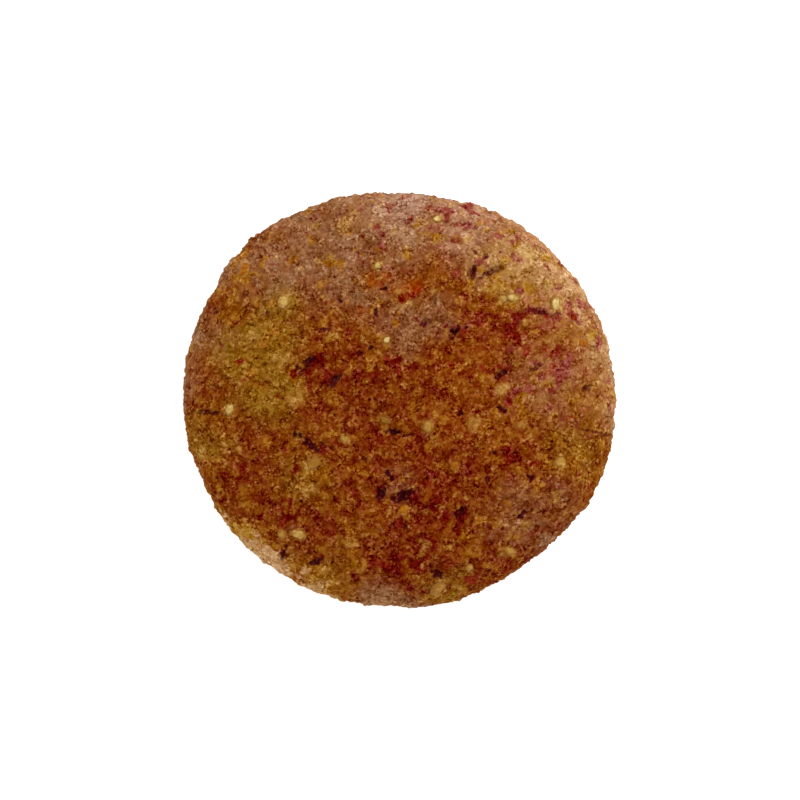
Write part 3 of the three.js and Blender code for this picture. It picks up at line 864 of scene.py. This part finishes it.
# %% Shape of a chopped piece
# Flat cuts on each piece, and how far from its middle they lie, as shares of its size
CHOP_CUTS = 2
CHOP_DEPTHS = (0.4, 0.5)
# How strongly and how finely noise makes it uneven
CHOP_UNEVEN = 0.3
CHOP_NOISE = 2.6
# Its height and its depth in the dough, as shares of its width
CHOP_HEIGHT = 0.66
CHOP_SUNK = 0.19
# A sunk piece shows less than its full width, so it is larger than what shows by this much
CHOP_SWELL = 1.25
# Level in millimetres from which the lines go down to the crumb
SEAT_FROM = 100


def chopped(name, rows, seed, surface):
    """Joined pieces, each a rounded lump with flat cuts and uneven sides, sunk a little into the crumb."""
    draw = random.Random(seed)
    form = bmesh.new()
    middle = form.verts.layers.float.new("middle")
    tint = form.verts.layers.float.new("tint")
    for x, y, long, wide, turn, tone in rows:
        seat, lean, _, _ = surface.ray_cast(Vector((x, y, SEAT_FROM)) * MM, Vector((0, 0, -1)))
        seat -= lean * CHOP_SUNK * wide * MM
        lump = bmesh.ops.create_icosphere(form, subdivisions=3, radius=0.5)["verts"]
        away = Vector((x, y, 0))
        for vertex in lump:
            vertex.co *= 1 + CHOP_UNEVEN * noise.noise(CHOP_NOISE * vertex.co + away)
        for _ in range(CHOP_CUTS):
            cut = Vector((draw.gauss(0, 1), draw.gauss(0, 1), draw.gauss(0, 1))).normalized()
            depth = draw.uniform(*CHOP_DEPTHS)
            for vertex in lump:
                vertex.co -= cut * max(0, vertex.co.dot(cut) - depth)
        upright = Vector((0, 0, 1)).rotation_difference(lean).to_matrix().to_4x4()
        place = (Matrix.Translation(seat) @ upright
                 @ Matrix.Rotation(math.radians(turn), 4, "Z")
                 @ Matrix.Diagonal((CHOP_SWELL * long * MM, CHOP_SWELL * wide * MM,
                                    CHOP_HEIGHT * wide * MM, 1)))
        for vertex in lump:
            vertex[middle] = 1 - 4 * vertex.co.xy.length_squared
            vertex[tint] = tone
            vertex.co = place @ vertex.co
    for face in form.faces:
        face.smooth = True
    mesh = bpy.data.meshes.new(name)
    form.to_mesh(mesh)
    form.free()
    return mesh


# %% Nut and peel materials
# Sizes in millimetres of the mottles in the flesh, and how far they change its shade
NUT_MOTTLE = 0.7
NUT_SPREAD = 0.6
PEEL_MOTTLE = 0.6
PEEL_SPREAD = 1.2
# The dough that crept up a nut: its colour, how ragged its edge is, and where the nut begins and is clear
CREPT_DOUGH = "#926026"
CREPT_RAGGED = 1.2
CREPT_EDGE = (0.75, 1.5)


def nut_material():
    # Blanched almond, chopped and roasted: mottled cream, with dough up its sides and hardly any sheen
    material, tree, place = new_material("roasted_blanched_nut")
    middle = add(tree, "ShaderNodeAttribute", attribute_name="middle").outputs["Fac"]
    tint = add(tree, "ShaderNodeAttribute", attribute_name="tint").outputs["Fac"]
    mottle = add(tree, "ShaderNodeTexNoise", {"Vector": place, "Scale": 1 / NUT_MOTTLE, "Detail": 3.0})
    shade = add(tree, "ShaderNodeMath", {0: mottle, 1: NUT_SPREAD, 2: -NUT_SPREAD / 2},
                operation="MULTIPLY_ADD")
    shade = add(tree, "ShaderNodeMath", {0: shade, 1: tint}, operation="ADD")
    flesh = add(tree, "ShaderNodeValToRGB", {0: shade}, [(0.35, "#986418"), (0.6, "#b2863c"),
                                                        (0.8, "#c8aa62"), (1.0, "#e4cc8c")])
    clear = add(tree, "ShaderNodeMath", {0: mottle, 1: CREPT_RAGGED, 2: middle}, operation="MULTIPLY_ADD")
    clear = add(tree, "ShaderNodeMapRange", {"Value": clear, "From Min": CREPT_EDGE[0],
                                            "From Max": CREPT_EDGE[1]}, interpolation_type="SMOOTHSTEP")
    colour = add(tree, "ShaderNodeMix", {0: clear, 6: linear(CREPT_DOUGH), 7: flesh.outputs[0]},
                 data_type="RGBA").outputs[2]
    set_surface(tree, colour, roughness=0.55, gloss=0.05, grain=mottle, depth=0.15, strength=0.7)
    return material


def peel_material():
    # Candied orange peel, diced and baked: deep red where it caught the heat, else orange to amber
    material, tree, place = new_material("candied_orange_peel")
    tint = add(tree, "ShaderNodeAttribute", attribute_name="tint").outputs["Fac"]
    mottle = add(tree, "ShaderNodeTexNoise", {"Vector": place, "Scale": 1 / PEEL_MOTTLE, "Detail": 2.0})
    shade = add(tree, "ShaderNodeMath", {0: mottle, 1: PEEL_SPREAD, 2: -PEEL_SPREAD / 2},
                operation="MULTIPLY_ADD")
    shade = add(tree, "ShaderNodeMath", {0: shade, 1: tint}, operation="ADD")
    flesh = add(tree, "ShaderNodeValToRGB", {0: shade}, [(0.0, "#6e0c02"), (0.35, "#8a2a04"),
                                                        (0.7, "#9a4e08"), (1.0, "#aa7016")])
    set_surface(tree, flesh.outputs[0], roughness=0.5, gloss=0.05)
    return material


# %% Seat the nuts and the diced peel
# Place, length, width, turn and tint, as for the nuts
PEEL_BITS = [
    (-31.8, 27.1, 2.6, 1.7, 70, 0.8), (11.4, -13.4, 1.7, 1.4, 0, 0.8), (1.1, -22.4, 2.0, 1.6, 30, 0.9),
    (38.1, 11.9, 1.8, 1.5, 0, 0.7),
]

top = BVHTree.FromObject(crumb, bpy.context.evaluated_depsgraph_get())
for name, rows, seed, material in (("chopped_nuts", NUTS, 7, nut_material()),
                                   ("diced_peel", PEEL_BITS, 8, peel_material())):
    pieces = new_piece(name, chopped(name, rows, seed, top))
    pieces.data.materials.append(material)
    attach(pieces, "root")
    print(name, "has", len(rows), "pieces with", len(pieces.data.polygons), "faces")

# %% [markdown]
# ## Ground nut and candied peel
# Between the large pieces the dough is full of ground nut, and here and there a bit of candied peel.
# Both are scattered by one Geometry Nodes tree: it spreads points over the crumb no closer than a set gap
# and clear of the pits and the large nuts, puts a small angular lump on each, turned and stretched by
# chance and sunk into the dough, and gives every lump a number that the finish reads as its colour. The
# ground nut has the finish of the crumb, so that each grain browned like the dough that it lies in.

# %% Scatter tree
GROUND_NUT = {"Gap (mm)": 0.85, "Points per square mm": 3.0, "Smallest (mm)": 0.4, "Largest (mm)": 1.3,
              "Sunk share": 0.32, "Darkest": -0.3, "Palest": 1.3, "Seed": 5}
PEEL = {"Gap (mm)": 8.0, "Points per square mm": 0.008, "Smallest (mm)": 0.9, "Largest (mm)": 2.0,
        "Sunk share": 0.22, "Darkest": 0.4, "Palest": 1.0, "Seed": 11}
# Nothing is scattered below this level, or where a pit or a large nut takes up this share or more
SCATTER_FROM = 1.5 * MM
COVER_LIMIT = 0.6
# Least and most length, width and height of a lump, as shares of its size
LUMP_LEAST = [0.9, 0.55, 0.5]
LUMP_MOST = [1.1, 1.0, 0.9]
# Power that makes small lumps more common than large ones
SMALLER = 2.0


def scatter_tree(name, sizes, material, label):
    """The tree that scatters small lumps over the crumb, each with a chance number by this label."""
    tree, size = new_tree(name, sizes)
    place = add(tree, "GeometryNodeInputPosition")
    level = add(tree, "ShaderNodeSeparateXYZ", {0: place}).outputs["Z"]
    off_base = add(tree, "FunctionNodeCompare", {0: level, 1: SCATTER_FROM}, operation="GREATER_THAN")
    uncovered = add(tree, "GeometryNodeInputNamedAttribute", {"Name": "uncovered"}, data_type="FLOAT")
    free = add(tree, "FunctionNodeCompare", {0: uncovered, 1: COVER_LIMIT}, operation="LESS_THAN")
    free = add(tree, "FunctionNodeBooleanMath", {0: off_base, 1: free}, operation="AND")
    gap = add(tree, "ShaderNodeMath", {0: size["Gap (mm)"], 1: MM}, operation="MULTIPLY")
    density = add(tree, "ShaderNodeMath", {0: size["Points per square mm"], 1: MM ** -2},
                  operation="MULTIPLY")
    spread = add(tree, "GeometryNodeDistributePointsOnFaces",
                 {"Mesh": size["Geometry"], "Selection": free, "Distance Min": gap,
                  "Density Max": density, "Seed": size["Seed"]}, distribute_method="POISSON")

    # Each lump has a length of its own, is narrower and lower than long, and sinks by a share of it
    draw = add(tree, "FunctionNodeRandomValue", {"Seed": 1}, data_type="FLOAT").outputs["Value"]
    skewed = add(tree, "ShaderNodeMath", {0: draw, 1: SMALLER}, operation="POWER")
    length = add(tree, "ShaderNodeMapRange", {"Value": skewed, "To Min": size["Smallest (mm)"],
                                             "To Max": size["Largest (mm)"]})
    length = add(tree, "ShaderNodeMath", {0: length, 1: MM}, operation="MULTIPLY")
    shape = add(tree, "FunctionNodeRandomValue", {0: LUMP_LEAST, 1: LUMP_MOST, "Seed": 2},
                data_type="FLOAT_VECTOR").outputs["Value"]
    shape = add(tree, "ShaderNodeVectorMath", {0: shape, "Scale": length}, operation="SCALE")
    sunk = length
    for share in (size["Sunk share"], -1.0):
        sunk = add(tree, "ShaderNodeMath", {0: sunk, 1: share}, operation="MULTIPLY")
    sunk = add(tree, "ShaderNodeVectorMath", {0: spread.outputs["Normal"], "Scale": sunk},
               operation="SCALE")
    seated = add(tree, "GeometryNodeSetPosition", {"Geometry": spread, "Offset": sunk})

    # It is turned by chance and drawn a number of its own
    angle = add(tree, "FunctionNodeRandomValue", {"Max": math.tau, "Seed": 3}, data_type="FLOAT")
    spin = add(tree, "FunctionNodeAxisAngleToRotation", {"Angle": angle.outputs["Value"]})
    turned = add(tree, "FunctionNodeRotateRotation", {0: spread.outputs["Rotation"], 1: spin},
                 rotation_space="LOCAL")
    lump = add(tree, "GeometryNodeMeshIcoSphere", {"Radius": 0.5, "Subdivisions": 1})
    lumps = add(tree, "GeometryNodeInstanceOnPoints", {"Points": seated, "Instance": lump,
                                                      "Rotation": turned, "Scale": shape})
    chance = add(tree, "FunctionNodeRandomValue", {2: size["Darkest"], 3: size["Palest"], "Seed": 4},
                 data_type="FLOAT").outputs["Value"]
    lumps = add(tree, "GeometryNodeStoreNamedAttribute",
                {"Geometry": lumps, "Name": label, "Value": chance}, data_type="FLOAT", domain="INSTANCE")
    real = add(tree, "GeometryNodeRealizeInstances", {"Geometry": lumps})
    dressed = add(tree, "GeometryNodeSetMaterial", {"Geometry": real, "Material": material})
    add(tree, "NodeGroupOutput", {"Geometry": dressed})
    return tree


# %% Scatter the ground nut and the peel
# A lump of one subdivision has this many faces
LUMP_FACES = 20

peel = bpy.data.materials["candied_orange_peel"]
for name, sizes, material, label in (("ground_nut", GROUND_NUT, crumb.data.materials[0], "crumb_tone"),
                                     ("candied_peel", PEEL, peel, "tint")):
    bits = new_piece(name, run_tree(crumb, scatter_tree(name, sizes, material, label), sizes))
    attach(bits, "root")
    print(name, "has", len(bits.data.polygons) // LUMP_FACES, "lumps")

# %% [markdown]
# ## Table, light and camera
# The biscuit lies on a pale table that is lit from below as well, as for a cut-out picture, so that
# hardly any shadow falls. A large soft lamp stands at the far right. The camera looks straight down.

# %% Table and light
def table():
    """A wide white floor that glows a little, as a light table does."""
    mesh = bpy.data.meshes.new("table")
    half = 3.0
    corners = [(-half, -half, 0), (half, -half, 0), (half, half, 0), (-half, half, 0)]
    mesh.from_pydata(corners, [], [(0, 1, 2, 3)])
    material = bpy.data.materials.new("white_light_table")
    material.use_nodes = True
    shader = material.node_tree.nodes["Principled BSDF"]
    shader.inputs["Base Color"].default_value = linear("#f0f0f0")
    shader.inputs["Roughness"].default_value = 0.9
    shader.inputs["Emission Color"].default_value = (1, 1, 1, 1)
    shader.inputs["Emission Strength"].default_value = 0.6
    mesh.materials.append(material)
    return new_piece("table", mesh)


table()

world = bpy.data.worlds.new("soft_room")
world.use_nodes = True
world.node_tree.nodes["Background"].inputs["Color"].default_value = (1, 1, 1, 1)
world.node_tree.nodes["Background"].inputs["Strength"].default_value = 0.7
bpy.context.scene.world = world

lamp_data = bpy.data.lights.new("soft_window", "AREA")
lamp_data.size = 0.8
lamp_data.energy = 3.4
lamp = bpy.data.objects.new("soft_window", lamp_data)
lamp.location = (0.2, 0.36, 0.6)
lamp.rotation_euler = (-lamp.location).to_track_quat("-Z", "Y").to_euler()
bpy.context.scene.collection.objects.link(lamp)
print("lamp %.0f mm from the biscuit" % (lamp.location.length / MM))

# %% Camera
CAMERA_PIXEL = 90 / 433 * MM  # a pixel of the picture on the biscuit, which is 433 pixels wide
IMAGE_PIXELS = 800
RIM_LEVEL = 4.5 * MM

camera_data = bpy.data.cameras.new("camera")
camera_data.lens = 150
camera_data.sensor_width = 36
camera = bpy.data.objects.new("camera", camera_data)
distance = IMAGE_PIXELS * CAMERA_PIXEL * camera_data.lens / camera_data.sensor_width
camera.location = (CAMERA_PIXEL, CAMERA_PIXEL, RIM_LEVEL + distance)
bpy.context.scene.collection.objects.link(camera)
bpy.context.scene.camera = camera
bpy.context.scene.view_settings.view_transform = "Standard"
print("camera %.0f mm above the rim" % (distance / MM))
